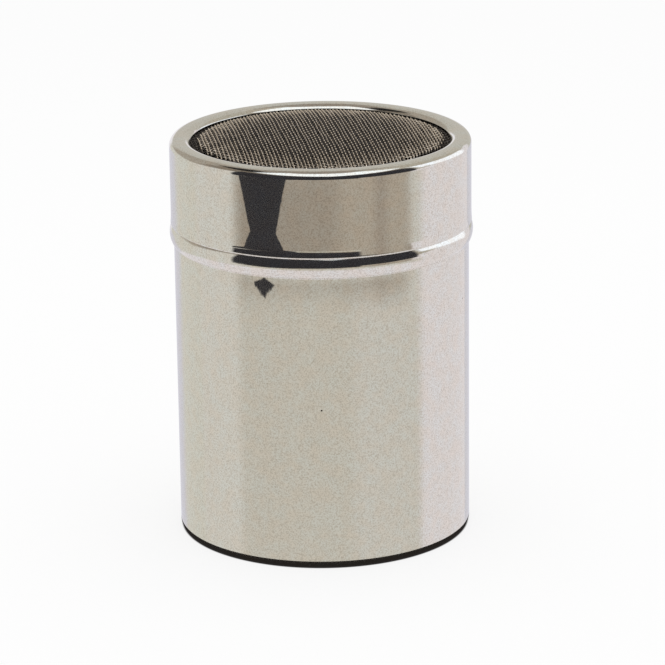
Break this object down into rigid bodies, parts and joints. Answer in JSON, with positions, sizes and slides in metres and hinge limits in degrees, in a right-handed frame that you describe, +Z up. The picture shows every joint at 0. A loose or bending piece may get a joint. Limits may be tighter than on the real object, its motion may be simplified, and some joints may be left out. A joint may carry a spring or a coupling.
{
  "type": "condiment shaker",
  "caption": "Round polished steel shaker: a drawn cup with a rolled stop bead, and a push-on lid with a domed woven wire screen for sugar, cocoa or flour.",
  "frame": {"origin": "on the resting plane, at the centre of the cup's foot", "axes": "+Z up along the cup's axis, towards the lid; the picture looks along +Y from the front and above, with +X to its right"},
  "size_m": [0.0712, 0.0712, 0.0953],
  "materials": {
    "polished_steel": "mirror polished stainless steel with a faint haze",
    "plain_steel": "unpolished pressed stainless steel",
    "steel_wire": "drawn and woven stainless wire, satin"
  },
  "bodies": {
    "cup": {"cup": "polished_steel"},
    "lid": {"lid_shell": "polished_steel", "screen_ring": "plain_steel", "screen": "steel_wire"}
  },
  "joints": [
    {"name": "lid_lift", "type": "slide", "parent": "cup", "child": "lid", "axis": [0, 0, 1], "range_m": [0, 0.04]}
  ]
}
